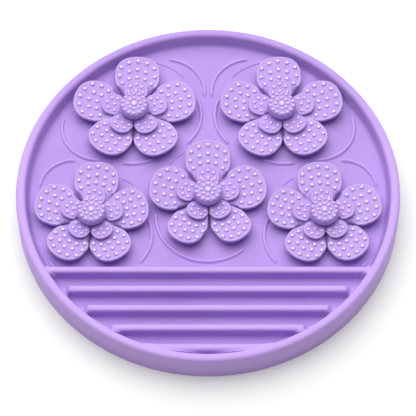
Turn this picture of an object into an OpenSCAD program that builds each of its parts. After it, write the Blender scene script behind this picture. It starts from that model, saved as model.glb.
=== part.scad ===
// Round silicone lick mat: a rimmed tray with a ribbed spreading area at the front
// and five push-in flowers, each held through the floor by a suction cup.
// Origin at table level under the centre of the tray, +Z up, ribs towards -Y.

/* [Tray] */
// Outer diameter of the tray
tray_d = 200; // [180:0.5:230]
// Height of the rim above the table
tray_h = 17.4; // [16.5:0.1:20]
// Height of the floor's upper face above the table
floor_h = 10; // [9.5:0.1:10.5]
// Thickness of the floor
floor_t = 2.5; // [2:0.1:3]
// Width of the rim's upper band
rim_w = 4.5; // [4:0.1:5]
// How far the rim's inner face leans in between its top and the floor
rim_lean = 2.2; // [1:0.1:2.5]
// Rounding of the rim's upper edges
rim_round = 2; // [0.5:0.1:2.1]
// Fillet between the rim and the floor
rim_fillet = 2; // [0.5:0.1:3]
// Thickness of the outer wall at the table
skirt_t = 4.6; // [3:0.1:6]
// Rounding of the outer wall's lower edges
skirt_round = 0.5; // [0.3:0.1:1.5]

/* [Ribs] */
// Number of ribs
rib_count = 5; // [3:1:6]
// Width of a rib at the floor
rib_w = 4.4; // [3.5:0.1:5]
// Width of a rib across its top, before rounding
rib_top_w = 3.6; // [3.2:0.1:4]
// Height of a rib above the floor
rib_h = 6.2; // [4:0.1:6.3]
// Rounding of a rib's upper edges
rib_round = 1.5; // [0.5:0.1:1.55]
// Gap between the side flowers' petals and the first rib
rib_gap = 2.2; // [0.5:0.1:3]
// How far the last rib's middle stands back from the foot of the rim
rib_last_gap = 2.25; // [0:0.05:3]
// Largest gap between the end of a rib and the rim, at the second rib's top
rib_end_gap = 5.6; // [3:0.1:6.5]
// Height of the sill that closes the gap at a rib's end
rib_sill_h = 3.5; // [1:0.1:4]

/* [Floor ridges] */
// Width of a curved ridge
ridge_w = 2.4; // [1.2:0.1:2.6]
// Height of a curved ridge above the floor
ridge_h = 1.1; // [0.4:0.1:1.2]
// Width of a faint ridge
faint_ridge_w = 1.4; // [0.8:0.1:1.6]
// Height of a faint ridge above the floor
faint_ridge_h = 0.5; // [0.2:0.05:0.6]

/* [Large petals] */
// Gap between the foot of the rim and the petal that comes nearest to it
petal_rim_gap = 2.4; // [2:0.05:6]
// Gap between two neighbouring petals of a flower where they are widest
petal_gap = 8.75; // [8:0.05:12]
// Thickness of a petal
petal_t = 2.2; // [1.6:0.1:2.8]
// Radius to which the large petals are dished
petal_dish_r = 200; // [150:1:400]
// Diameter of the disc that the petals join
petal_hub_d = 17; // [16:0.1:17.4]
// Diameter of a nub on a large petal
petal_nub_d = 2.2; // [1.2:0.1:2.4]
// Height of a nub on a large petal
petal_nub_h = 1; // [0.4:0.05:1.1]

/* [Small petals] */
// Reach of the middle flower's small petals from its centre
small_reach = 16.6; // [15.5:0.1:17.5]
// Width of a small petal
small_w = 12.2; // [11:0.1:12.6]
// Thickness of a small petal
small_t = 1.8; // [1.2:0.1:2.2]
// Radius to which the small petals are dished
small_dish_r = 85; // [70:1:110]
// Diameter of the disc that the small petals join
small_hub_d = 13; // [12.8:0.1:14]
// Diameter of a nub on a small petal
small_nub_d = 1.6; // [0.9:0.1:1.7]
// Height of a nub on a small petal
small_nub_h = 0.7; // [0.3:0.05:0.8]

/* [Buttons] */
// Diameter of a button
button_d = 15.2; // [13.5:0.1:16]
// Height of a button above the small petals
button_h = 6.3; // [5:0.1:7]
// Height of a button's widest line above the small petals
button_waist_h = 2.7; // [1.5:0.1:3.2]
// Diameter of the button's foot
button_foot_d = 12.4; // [11:0.1:12.6]
// Diameter of the nub in the middle of a button
crown_nub_d = 3.4; // [2.6:0.1:3.6]
// Height of the nub in the middle of a button
crown_nub_h = 0.9; // [0.5:0.05:1.2]
// Diameter of the other nubs on a button
button_nub_d = 1.8; // [1.2:0.1:1.9]
// Height of the other nubs on a button
button_nub_h = 0.8; // [0.4:0.05:0.9]

/* [Stems and suction cups] */
// Diameter of the stem under a button
stem_d = 6.4; // [5:0.1:7]
// Distance from the stem's axis to its flat
stem_flat = 2.4; // [2:0.1:2.5]
// Radial clearance round the stem in every hole that it passes
stem_clear = 0.05; // [0.02:0.01:0.09]
// Gap under the stem's end in its socket
stem_end_gap = 0.4; // [0.2:0.1:1]
// Height of the raised collar round a hole in the floor
collar_h = 2; // [1.8:0.1:2.3]
// Diameter of the collar
collar_d = 18.5; // [17.5:0.1:20]
// Diameter of the hole in the floor
floor_hole_d = 12; // [11.5:0.1:12.5]
// Diameter of a suction cup's head, which sits in the collar
cup_head_d = 14; // [13.6:0.1:15]
// Clearance between a suction cup and the tray
cup_clear = 0.1; // [0.05:0.01:0.15]
// Diameter of a suction cup at the table
cup_d = 30; // [26:0.5:34]
// Diameter of a suction cup's shoulder under the floor
cup_shoulder_d = 17; // [16:0.1:19]
// Height of the suction cup's hollow
cup_hollow_h = 3.2; // [2.5:0.1:3.4]
// Thickness of a suction cup's lip
cup_lip_t = 1.1; // [0.8:0.1:1.5]
// Thickness of the web under the stem's socket
cup_web_t = 1.4; // [1:0.1:1.6]

/* [Hidden] */

$fn = 96;
dish_facets = 240;
nub_facets = 24;
arc_steps = 8;

// Colours of the one lilac silicone, a shade apart so that the layers read
tray_colour = [0.72, 0.60, 0.90];
petal_colour = [0.78, 0.67, 0.95];
small_petal_colour = [0.75, 0.63, 0.93];
button_colour = [0.80, 0.70, 0.96];
cup_colour = [0.66, 0.54, 0.84];

// Radii and heights of the tray
tray_r = tray_d / 2;
rim_inner_r = tray_r - rim_w;
floor_r = rim_inner_r - rim_lean;
collar_top = floor_h + collar_h;

// Levels of a flower's layers: each rests on the hub of the one below
small_base = collar_top + petal_t;
button_base = small_base + small_t;
socket_floor = cup_hollow_h + cup_web_t;
stem_end = socket_floor + stem_end_gap;

// The three kinds of flower. The order of the petals is top, left, lower left,
// lower right, right, seen from above; each turn is from the even fifth.
petal_turn = 72;
first_petal = 90;
middle_size_share = 1;
middle_turns = [0, 4, 4, -4, -4];
middle_reach_shares = [1.05, 0.98, 0.975, 0.975, 0.98];
middle_width_shares = [1, 1.11, 0.88, 0.88, 1.11];
side_size_share = 0.98;
side_turns = [-5, -2, -0.8, -6, -4.4];
side_reach_shares = [1.03, 1, 0.96, 0.935, 0.96];
side_width_shares = [1.02, 1.06, 0.98, 0.97, 1.03];
back_size_share = 1.06;
back_turns = [-3, 2, -0.2, -3, -3];
back_reach_shares = [0.99, 0.99, 0.935, 0.93, 0.985];
back_width_shares = [0.98, 1, 0.98, 0.98, 1];
small_reach_shares = [1, 0.98, 0.93, 0.93, 0.98];

// Places of the flowers: a neighbour's centre is about two reaches away
middle_place_shares = [0, -0.117];
side_place_shares = [-1.951, -0.5];
back_place_shares = [-1.268, 1.588];

// Outline of a petal along its axis: shares of its reach and half width at each
// corner, and the corner's rounding as a share of the half width
petal_corner_shares = [
    [0.13, -0.29, 0],
    [0.55, -1, 0.9],
    [0.97, -1, 0.8],
    [1.04, 0, 1.3],
    [0.97, 1, 0.8],
    [0.55, 1, 0.9],
    [0.13, 0.29, 0],
];

// Nubs of a large petal: shares of its reach and half width
petal_nub_shares = [
    [0.935, 0],
    [0.9, 0.4],
    [0.9, -0.4],
    [0.81, 0.74],
    [0.81, -0.74],
    [0.655, 0.785],
    [0.655, -0.785],
    [0.52, 0.64],
    [0.52, -0.64],
    [0.785, 0],
    [0.74, 0.37],
    [0.74, -0.37],
    [0.61, 0.35],
    [0.61, -0.35],
    [0.64, 0],
];

// Nubs of a small petal: one in the middle of its end and a ring round it
small_ring_count = 7;
small_ring_centre_share = 0.64;
small_ring_share = 0.6;

// Nubs of a button: counts of its rings and their shares of its radius
button_ring_counts = [8, 14];
button_ring_shares = [0.43, 0.8];
button_dome_power = 6;
button_dome_steps = 12;

// How squarely the gaps at the ribs' ends close towards the last rib
rib_gap_power = 4;

// Height of the bend in a suction cup's hollow, as a share of the hollow's height
cup_bend_share = 0.72;

// Curved ridges on the floor by kind of flower: centre and radius as shares of
// the flower's reach from its centre, first and last angle, and whether faint
back_ridge_shares = [
    [-0.573, -0.239, 0.607, 160, 275, false],
    [-0.021, -0.276, 0.641, 252, 304, false],
    [0.325, 0.009, 0.76, -48, 25, false],
    [0.129, 0.163, 0.886, 38, 83, true],
    [0.494, 0.445, 0.644, -9, 88, false],
];
side_ridge_shares = [
    [-0.345, 0.612, 0.596, 95, 177, false],
    [-0.017, -0.046, 1.037, 44, 62, true],
    [0.242, -0.291, 0.785, -45, 28, false],
    [-0.121, -0.429, 0.695, 210, 227, false],
];
middle_ridge_shares = [
    [-0.006, -0.289, 0.877, 175, 317, false],
    [-0.039, 0.305, 0.75, 116, 151, true],
];

// Section of a ridge: shares of its width and height, below zero for its foot
ridge_section_shares = [
    [-0.5, -1],
    [0.5, -1],
    [0.5, 0],
    [0.4, 0.6],
    [0.2, 1],
    [-0.2, 1],
    [-0.4, 0.6],
    [-0.5, 0],
];

// One corner of an outline, rounded to radius r between its neighbours a and c
function unit(v) = v / norm(v);
function corner_arc(a, b, c, r) =
    let (
        u = unit(a - b),
        v = unit(c - b),
        half = acos(u * v) / 2,
        centre = b + unit(u + v) * r / sin(half),
        first = b + u * r / tan(half) - centre,
        sweep = (180 - 2 * half) * sign(cross(b - a, c - b)),
        start = atan2(first.y, first.x)
    )
    [for (i = [0:arc_steps])
        let (turn = start + sweep * i / arc_steps)
        centre + r * [cos(turn), sin(turn)]];

// An outline with every corner rounded to its own radius, zero for a sharp one
function rounded(points, radii) =
    let (last = len(points) - 1)
    [for (i = [0:last])
        let (
            before = points[i == 0 ? last : i - 1],
            after = points[i == last ? 0 : i + 1]
        )
        each (radii[i] == 0 ? [points[i]] : corner_arc(before, points[i], after, radii[i]))];

function petal_points(reach, half_w) =
    rounded(
        [for (s = petal_corner_shares) [s.x * reach, s.y * half_w]],
        [for (s = petal_corner_shares) s.z * half_w]
    );

function turned(p, angle) =
    [p.x * cos(angle) - p.y * sin(angle), p.x * sin(angle) + p.y * cos(angle)];

function petal_angle(turns, i) = first_petal + petal_turn * i + turns[i];

// How far a flower's farthest petal comes from the tray's centre, in reaches
function span_share(place_shares, size_share, turns, reach_shares) =
    max([for (i = [0:4])
        norm(place_shares + turned([size_share * reach_shares[i], 0], petal_angle(turns, i)))]);

// The petals' reach fills the floor, and their width fills the room between them
petal_span_share = max(
    span_share(side_place_shares, side_size_share, side_turns, side_reach_shares),
    span_share(back_place_shares, back_size_share, back_turns, back_reach_shares)
);
petal_reach = (floor_r - petal_rim_gap) / petal_span_share;
petal_side_share = (petal_corner_shares[1].x + petal_corner_shares[2].x) / 2;
petal_w = (2 * petal_reach * petal_side_share * sin(petal_turn / 2) - petal_gap) / cos(petal_turn / 2);

middle_place = middle_place_shares * petal_reach;
side_place = side_place_shares * petal_reach;
back_place = back_place_shares * petal_reach;

// Rise of a dished face of radius r above its lowest point, at a place p
function dish_rise(r, p) = r - sqrt(r * r - p * p);

// Height of a button's dome above its base at a share of its radius
function dome_height(share) =
    button_waist_h + (button_h - button_waist_h) * sqrt(1 - pow(share, button_dome_power));

// Ribs start in front of the side flowers' foremost petal
side_front = side_place.y + min([
    for (i = [0:4])
        for (p = petal_points(
            petal_reach * side_size_share * side_reach_shares[i],
            petal_w / 2 * side_size_share * side_width_shares[i]
        ))
            turned(p, petal_angle(side_turns, i)).y
]);
first_rib_y = side_front - rib_gap - rib_w / 2;
last_rib_y = rib_last_gap - floor_r;
rib_pitch = (first_rib_y - last_rib_y) / (rib_count - 1);

// Half the length of a rib. The first runs into the rim, and the gap at the ends
// of the others shrinks to nothing at the last.
rim_at_rib_r = floor_r + rim_lean * rib_h / (tray_h - floor_h);
function rib_y(i) = first_rib_y - i * rib_pitch;
function rib_half_length(i) =
    sqrt(pow(rim_at_rib_r, 2) - pow(rib_y(i), 2))
    - (i == 0 ? -rim_w / 2 : rib_end_gap * (1 - pow(i / (rib_count - 1), rib_gap_power)));

// Section of the stem, or of a hole round it: a circle with one flat
module stem_section(clear) {
    difference() {
        circle(d = stem_d + 2 * clear);
        translate([-stem_d, stem_flat + clear])
            square([2 * stem_d, stem_d]);
    }
}

// Hole for the stem through everything between two heights
module stem_hole(from, to) {
    translate([0, 0, from])
        linear_extrude(to - from)
            stem_section(stem_clear);
}

// A round nub whose top stands h above the face that it grows from
module nub(d, h) {
    translate([0, 0, h - d / 2])
        sphere(d = d, $fn = nub_facets);
}

// Five petals and their hub, dished to a sphere, with a flat seat for the next
// layer and a hole for the stem. Its underside rests at z = 0.
module whorl(reaches, half_widths, t, dish_r, hub_d, seat_d, turns) {
    rise = dish_rise(dish_r, max(reaches));
    difference() {
        union() {
            intersection() {
                linear_extrude(t + 2 * rise)
                    for (i = [0:4])
                        rotate(petal_angle(turns, i))
                            polygon(petal_points(reaches[i], half_widths[i]));
                translate([0, 0, t + dish_r])
                    difference() {
                        sphere(r = dish_r + t, $fn = dish_facets);
                        sphere(r = dish_r, $fn = dish_facets);
                    }
            }
            cylinder(d = hub_d, h = t);
        }
        translate([0, 0, t])
            cylinder(d = seat_d, h = rise + t);
        stem_hole(-t, 2 * t);
    }
}

module large_petals(size_share, turns, reach_shares, width_shares) {
    reaches = petal_reach * size_share * reach_shares;
    half_widths = petal_w / 2 * size_share * width_shares;
    color(petal_colour)
        translate([0, 0, collar_top]) {
            whorl(
                reaches, half_widths, petal_t, petal_dish_r, petal_hub_d,
                small_hub_d + 2 * cup_clear, turns
            );
            for (i = [0:4])
                for (s = petal_nub_shares)
                    petal_nub(
                        petal_angle(turns, i), [s.x * reaches[i], s.y * half_widths[i]],
                        petal_hub_d, petal_t, petal_dish_r, petal_nub_d, petal_nub_h
                    );
        }
}

module small_petals(size_share, turns) {
    reaches = small_reach * size_share * small_reach_shares;
    half_w = small_w / 2 * size_share;
    color(small_petal_colour)
        translate([0, 0, small_base]) {
            whorl(
                reaches, [for (i = [0:4]) half_w], small_t, small_dish_r, small_hub_d,
                button_foot_d + 4 * cup_clear, turns
            );
            for (i = [0:4]) {
                small_nub(petal_angle(turns, i), [small_ring_centre_share * reaches[i], 0]);
                for (k = [0:small_ring_count - 1]) {
                    around = 360 * k / small_ring_count;
                    small_nub(
                        petal_angle(turns, i),
                        [
                            small_ring_centre_share * reaches[i] + small_ring_share * half_w * cos(around),
                            small_ring_share * half_w * sin(around)
                        ]
                    );
                }
            }
        }
}

module small_nub(angle, place) {
    petal_nub(angle, place, button_d, small_t, small_dish_r, small_nub_d, small_nub_h);
}

// A nub at a place along a petal's axis, on the dished face of a whorl. One that
// would stand under the disc of diameter over_d above it is left out.
module petal_nub(angle, place, over_d, t, dish_r, d, h) {
    if (norm(place) > over_d / 2 + d / 2)
        rotate(angle)
            translate([place.x, place.y, t + dish_rise(dish_r, norm(place))])
                nub(d, h);
}

// Domed button with its nubs, and the stem that holds the flower together
module button() {
    r = button_d / 2;
    color(button_colour) {
        translate([0, 0, button_base]) {
            rotate_extrude()
                polygon(concat(
                    [[0, 0], [button_foot_d / 2, 0]],
                    [for (i = [button_dome_steps:-1:0])
                        let (share = sin(90 * i / button_dome_steps))
                        [r * share, dome_height(share)]]
                ));
            translate([0, 0, button_h])
                nub(crown_nub_d, crown_nub_h);
            for (ring = [0:1])
                for (k = [0:button_ring_counts[ring] - 1])
                    rotate(first_petal + 360 * k / button_ring_counts[ring])
                        translate([
                            button_ring_shares[ring] * r,
                            0,
                            dome_height(button_ring_shares[ring])
                        ])
                            nub(button_nub_d, button_nub_h);
        }
        translate([0, 0, stem_end])
            linear_extrude(button_base + button_waist_h - stem_end)
                stem_section(0);
    }
}

// Mushroom-headed suction cup: its groove grips the hole in the floor, and the
// socket in its head takes the flower's stem
module suction_cup() {
    neck_r = floor_hole_d / 2 - cup_clear;
    head_r = cup_head_d / 2;
    shoulder_r = cup_shoulder_d / 2;
    cup_r = cup_d / 2;
    under = floor_h - floor_t;
    head_top = collar_top - cup_clear;
    color(cup_colour)
        difference() {
            rotate_extrude()
                polygon(rounded(
                    [
                        [0, cup_hollow_h],
                        [cup_r / 2, cup_hollow_h * cup_bend_share],
                        [cup_r - cup_lip_t, 0],
                        [cup_r, 0],
                        [cup_r - cup_lip_t / 2, cup_lip_t],
                        [shoulder_r, under - cup_lip_t],
                        [shoulder_r, under],
                        [neck_r, under],
                        [neck_r, floor_h],
                        [head_r, floor_h],
                        [head_r, head_top],
                        [0, head_top],
                    ],
                    [
                        0, cup_r, 0, 0, cup_lip_t / 4, cup_lip_t,
                        cup_lip_t / 4, 0, 0, 0, cup_lip_t / 2, 0
                    ]
                ));
            stem_hole(socket_floor, collar_top + collar_h);
        }
}

// Ridge along an arc of the floor, its top narrower than its foot
module ridge(centre, r, from, to, w, h) {
    foot = floor_t / 2;
    translate([centre.x, centre.y, floor_h])
        rotate(from)
            rotate_extrude(angle = to - from)
                translate([r, 0])
                    polygon([for (s = ridge_section_shares) [s.x * w, s.y < 0 ? -foot : s.y * h]]);
}

module ridges(place, size_share, arc_shares) {
    reach = petal_reach * size_share;
    for (arc = arc_shares)
        ridge(
            place + reach * [arc[0], arc[1]],
            reach * arc[2], arc[3], arc[4],
            arc[5] ? faint_ridge_w : ridge_w,
            arc[5] ? faint_ridge_h : ridge_h
        );
}

// The revolved body of the tray: floor, rim and outer wall over a hollow base
module tray_body() {
    under = floor_h - floor_t;
    rotate_extrude()
        polygon(rounded(
            [
                [0, under],
                [tray_r - skirt_t, under],
                [tray_r - skirt_t, 0],
                [tray_r, 0],
                [tray_r, tray_h],
                [rim_inner_r, tray_h],
                [floor_r, floor_h],
                [0, floor_h],
            ],
            [0, rim_fillet, skirt_round, skirt_round, rim_round, rim_round, rim_fillet, 0]
        ));
}

// Outline of a bar seen from one end or one side, sunk half way into the floor
module bar_section(foot_w, top_w, h, round) {
    foot = floor_t / 2;
    polygon(rounded(
        [
            [-foot_w / 2, -foot],
            [foot_w / 2, -foot],
            [foot_w / 2, 0],
            [top_w / 2, h],
            [-top_w / 2, h],
            [-foot_w / 2, 0],
        ],
        [0, 0, 0, round, round, 0]
    ));
}

// A bar that stands on the floor at a rib's place, rounded along its sides and ends
module bar(i, half_length, h, round) {
    taper = (rib_w - rib_top_w) * h / rib_h;
    translate([0, rib_y(i), floor_h])
        intersection() {
            rotate([90, 0, 90])
                linear_extrude(2 * half_length, center = true)
                    bar_section(rib_w, rib_w - taper, h, round);
            rotate([90, 0, 0])
                linear_extrude(2 * rib_w, center = true)
                    bar_section(2 * half_length, 2 * half_length - taper, h, round);
        }
}

// Straight ribs across the front, and the lower sills that join their ends to the rim
module ribs() {
    intersection() {
        for (i = [0:rib_count - 1]) {
            bar(i, rib_half_length(i), rib_h, rib_round);
            bar(i, tray_r, rib_sill_h, min(rib_round, rib_sill_h / 2));
        }
        cylinder(r = rim_inner_r + rim_w / 4, h = tray_h);
    }
}

// Collar round a hole in the floor, which carries a flower
module collar(place) {
    translate([place.x, place.y, floor_h - floor_t / 2])
        cylinder(d = collar_d, h = floor_t / 2 + collar_h);
}

// Hole through the floor and the wider pocket for the cup's head
module collar_hole(place) {
    translate([place.x, place.y, 0])
        cylinder(d = floor_hole_d, h = tray_h);
    translate([place.x, place.y, floor_h])
        cylinder(d = cup_head_d + 2 * cup_clear, h = tray_h);
}

module left_and_right() {
    children();
    mirror([1, 0, 0])
        children();
}

module tray() {
    color(tray_colour)
        difference() {
            union() {
                tray_body();
                ribs();
                left_and_right() {
                    collar(back_place);
                    collar(side_place);
                    ridges(back_place, back_size_share, back_ridge_shares);
                    ridges(side_place, side_size_share, side_ridge_shares);
                }
                collar(middle_place);
                ridges(middle_place, middle_size_share, middle_ridge_shares);
            }
            left_and_right() {
                collar_hole(back_place);
                collar_hole(side_place);
            }
            collar_hole(middle_place);
        }
}

module at(place) {
    translate([place.x, place.y, 0])
        children();
}

module back_left_large_petals() {
    at(back_place)
        large_petals(back_size_share, back_turns, back_reach_shares, back_width_shares);
}

module back_left_small_petals() {
    at(back_place)
        small_petals(back_size_share, back_turns);
}

module back_left_button() {
    at(back_place)
        button();
}

module back_left_suction_cup() {
    at(back_place)
        suction_cup();
}

module side_left_large_petals() {
    at(side_place)
        large_petals(side_size_share, side_turns, side_reach_shares, side_width_shares);
}

module side_left_small_petals() {
    at(side_place)
        small_petals(side_size_share, side_turns);
}

module side_left_button() {
    at(side_place)
        button();
}

module side_left_suction_cup() {
    at(side_place)
        suction_cup();
}

module middle_large_petals() {
    at(middle_place)
        large_petals(middle_size_share, middle_turns, middle_reach_shares, middle_width_shares);
}

module middle_small_petals() {
    at(middle_place)
        small_petals(middle_size_share, middle_turns);
}

module middle_button() {
    at(middle_place)
        button();
}

module middle_suction_cup() {
    at(middle_place)
        suction_cup();
}

tray();
back_left_large_petals();
back_left_small_petals();
back_left_button();
back_left_suction_cup();
mirror([1, 0, 0]) back_left_large_petals();  // back_right_large_petals
mirror([1, 0, 0]) back_left_small_petals();  // back_right_small_petals
mirror([1, 0, 0]) back_left_button();  // back_right_button
mirror([1, 0, 0]) back_left_suction_cup();  // back_right_suction_cup
side_left_large_petals();
side_left_small_petals();
side_left_button();
side_left_suction_cup();
mirror([1, 0, 0]) side_left_large_petals();  // side_right_large_petals
mirror([1, 0, 0]) side_left_small_petals();  // side_right_small_petals
mirror([1, 0, 0]) side_left_button();  // side_right_button
mirror([1, 0, 0]) side_left_suction_cup();  // side_right_suction_cup
middle_large_petals();
middle_small_petals();
middle_button();
middle_suction_cup();
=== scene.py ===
"""Lilac silicone lick mat: a rimmed tray with ribs and ridges, and five push-in flowers.

Every mesh is a shell of sheets and turned walls. A sheet is a plan, a flat
triangulation that keeps the outlines of all that stands on it, lifted by a height
function with the sizes of the construction. Each point also carries a share of painted
light, a paler colour: a painted highlight on crests, nub tops and edges, and painted
light on the outer wall. Lengths are in millimetres until a mesh is made, which is in
metres.
"""

import math
from itertools import groupby

import bpy
import numpy as np
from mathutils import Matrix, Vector
from mathutils.geometry import delaunay_2d_cdt


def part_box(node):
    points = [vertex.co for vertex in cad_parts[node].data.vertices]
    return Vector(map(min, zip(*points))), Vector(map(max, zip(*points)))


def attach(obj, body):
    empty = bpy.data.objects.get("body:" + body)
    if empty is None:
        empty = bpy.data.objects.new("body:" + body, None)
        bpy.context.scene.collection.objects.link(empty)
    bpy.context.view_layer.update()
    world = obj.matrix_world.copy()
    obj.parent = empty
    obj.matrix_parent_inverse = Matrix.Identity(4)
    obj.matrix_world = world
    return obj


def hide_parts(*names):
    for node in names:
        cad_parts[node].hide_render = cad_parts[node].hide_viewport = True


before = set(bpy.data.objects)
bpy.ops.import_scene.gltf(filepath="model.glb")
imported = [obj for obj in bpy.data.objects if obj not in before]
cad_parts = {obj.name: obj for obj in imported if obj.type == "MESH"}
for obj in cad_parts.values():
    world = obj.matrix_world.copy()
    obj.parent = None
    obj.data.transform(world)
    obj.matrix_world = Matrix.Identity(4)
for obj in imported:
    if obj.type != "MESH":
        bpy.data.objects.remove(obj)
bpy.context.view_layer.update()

MM = 0.001

# Points this near to each other become one, and a depth below a hair is an edge
WELD_GRID = 1e-3
HAIR = 1e-3
# Step over which a height function's slopes are measured
GRADIENT_STEP = 0.004
# How near two points of a plan may be, and how deep inside a triangle's middle lies
PLAN_STEP = 1e-5
INSIDE_DEPTH = 1e-4
# Lengths and areas below this count as nothing
TINY = 1e-9
# Largest gap between the points of a curved line, and steps of a profile's roundings
LINE_GAP = 1.2
PROFILE_STEPS = 400
# The attribute that tells the materials how much painted highlight a point gets
PAINTED_HIGHLIGHT = "painted_highlight"


# Sizes read from the frame
def box_mm(node):
    low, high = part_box(node)
    return np.array(low) / MM, np.array(high) / MM


def centre_mm(node):
    low, high = box_mm(node)
    return (low + high)[:2] / 2


TRAY_R = box_mm("tray")[1][0]
TRAY_H = box_mm("tray")[1][2]
COLLAR_TOP = box_mm("middle_large_petals")[0][2]
SMALL_BASE = box_mm("middle_small_petals")[0][2]
STEM_END = box_mm("middle_button")[0][2]

# Sizes of the tray
FLOOR_H = 10
FLOOR_T = 2.5
RIM_W = 4.5
RIM_LEAN = 2.2
RIM_ROUND = 2
RIM_FILLET = 2
SKIRT_T = 4.6
SKIRT_ROUND = 0.5
RIM_INNER_R = TRAY_R - RIM_W
RIM_MIDDLE_R = TRAY_R - RIM_W / 2
FLOOR_R = RIM_INNER_R - RIM_LEAN
UNDERSIDE = FLOOR_H - FLOOR_T
COLLAR_D = 18.5
COLLAR_ROUND = 0.5
POCKET_D = 14.2
FLOOR_HOLE_D = 12
RING_COUNT = 512
HOLE_COUNT = 48
HOLE_MARGIN = 0.02

# Sizes of the ribs. The last one's middle stands back from the rim's foot by a gap. The
# first and the last run into the rim, the ends of the others fall to a sill, and every
# corner with the rim has a fillet.
RIB_COUNT = 5
RIB_W = 4.4
RIB_TOP_W = 3.6
RIB_H = 6.2
RIB_ROUND = 1.5
RIB_FOOT_ROUND = 0.6
FIRST_RIB_Y = -47.05
LAST_RIB_GAP = 2.25
LAST_RIB_Y = LAST_RIB_GAP - FLOOR_R
RIB_PITCH = (FIRST_RIB_Y - LAST_RIB_Y) / (RIB_COUNT - 1)
RIB_END_GAP = 5.6
RIB_GAP_POWER = 4
RIB_END_FALL = 3
RIB_FILLET = 3
SILL_H = 3.5

# Sizes of the curved ridges on the floor. The shares are of half the width: where the
# foot ends, where the crest begins and where the lines along a ridge run.
RIDGE_W = 2.4
RIDGE_H = 1.1
FAINT_RIDGE_W = 1.4
FAINT_RIDGE_H = 0.5
RIDGE_TAPER = 2.5
RIDGE_FOOT_SHARE = 1.1
RIDGE_CREST_SHARE = 0.1
RIDGE_LINE_SHARES = (0, 0.25, 0.5, 0.75, 1, 1.15, 1.5)

# Sizes of the large petals. The seat carries the layer above, the lip is a fine bead
# along the edge, and the edge is rounded over its own depth.
LARGE = {
    "w": 23.2,
    "t": 2.2,
    "dish_r": 200,
    "hub_d": 17,
    "seat_d": 13.2,
    "nub_d": 2.2,
    "nub_h": 1,
    "lip_h": 0.15,
    # Share of painted highlight on the bead along the edge
    "lip_highlight": 0.22,
    "edge": 0.8,
}

# Sizes of the small petals
SMALL = {
    "w": 12.2,
    "t": 1.8,
    "dish_r": 85,
    "hub_d": 13,
    "seat_d": 12.6,
    "nub_d": 1.75,
    "nub_h": 0.8,
    "lip_h": 0.04,
    # Share of painted highlight on the bead along the edge
    "lip_highlight": 0.08,
    "edge": 0.65,
}
SMALL_REACH = 16.6
SMALL_REACH_SHARES = (1, 0.98, 0.93, 0.93, 0.98)

# Sizes of a button and its stem. The dome is a sheet up to a share of its radius, and
# turned from there down to the waist and the foot.
BUTTON_BASE = SMALL_BASE + SMALL["t"]
BUTTON_D = 15.2
BUTTON_H = 6.3
BUTTON_WAIST_H = 3.2
BUTTON_FOOT_D = 12.4
BUTTON_WAIST_ROUND = 0.35
BUTTON_WAIST_STEPS = 6
BUTTON_SHEET_SHARE = 0.95
BUTTON_RIM_COUNT = 96
BUTTON_SIDE_COUNT = 8
BUTTON_GRID = 0.8
BUTTON_LEAN_STEP = 0.01
CROWN_NUB_D = 3.4
CROWN_NUB_H = 0.9
BUTTON_NUB_D = 1.8
BUTTON_NUB_H = 0.8
BUTTON_RING_COUNTS = (8, 14)
BUTTON_RING_SHARES = (0.43, 0.81)
BUTTON_DOME_POWER = 16
STEM_D = 6.4
STEM_FLAT = 2.4
STEM_CLEAR = 0.05
STEM_POINTS = 33

# The petals in the order top, left, lower left, lower right, right. The lower pair has
# a gap between, and is narrower on both sides of it.
PETAL_TURN = 72
FIRST_PETAL = 90
PETALS = range(5)
LOWER_PAIR = (2, 3)
PAIR_GAP = 0.5
PAIR_INNER_SHARE = 0.92

# Outline of a petal along its axis: shares of its reach and half width at each
# corner, and the corner's rounding as a share of the half width
PETAL_CORNER_SHARES = (
    (0.13, -0.29, 0),
    (0.55, -1, 0.75),
    (0.97, -1, 0.8),
    (1.04, 0, 1.3),
    (0.97, 1, 0.8),
    (0.55, 1, 0.75),
    (0.13, 0.29, 0),
)

# Nubs of a large petal: shares of its reach and half width
LARGE_NUB_SHARES = (
    (0.935, 0),
    (0.9, 0.4),
    (0.9, -0.4),
    (0.81, 0.74),
    (0.81, -0.74),
    (0.655, 0.785),
    (0.655, -0.785),
    (0.52, 0.64),
    (0.52, -0.64),
    (0.785, 0),
    (0.74, 0.37),
    (0.74, -0.37),
    (0.61, 0.35),
    (0.61, -0.35),
    (0.64, 0),
)

# Nubs of a small petal: one in the middle of its end and a ring round it
SMALL_RING_COUNT = 7
SMALL_RING_CENTRE_SHARE = 0.64
SMALL_RING_SHARE = 0.6

# Section of a nub: distance from its axis and height, as shares of its radius and
# height. Each distance is also a ring of points.
NUB_SECTION = (
    (0, 1),
    (0.25, 0.97),
    (0.5, 0.87),
    (0.7, 0.71),
    (0.85, 0.51),
    (0.95, 0.31),
    (1.02, 0.14),
    (1.12, 0.04),
    (1.28, 0),
)
NUB_SIDES = 12
# Share of a nub's shape above which its top gets the painted highlight
NUB_HIGHLIGHT_LOW = 0.25

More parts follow.
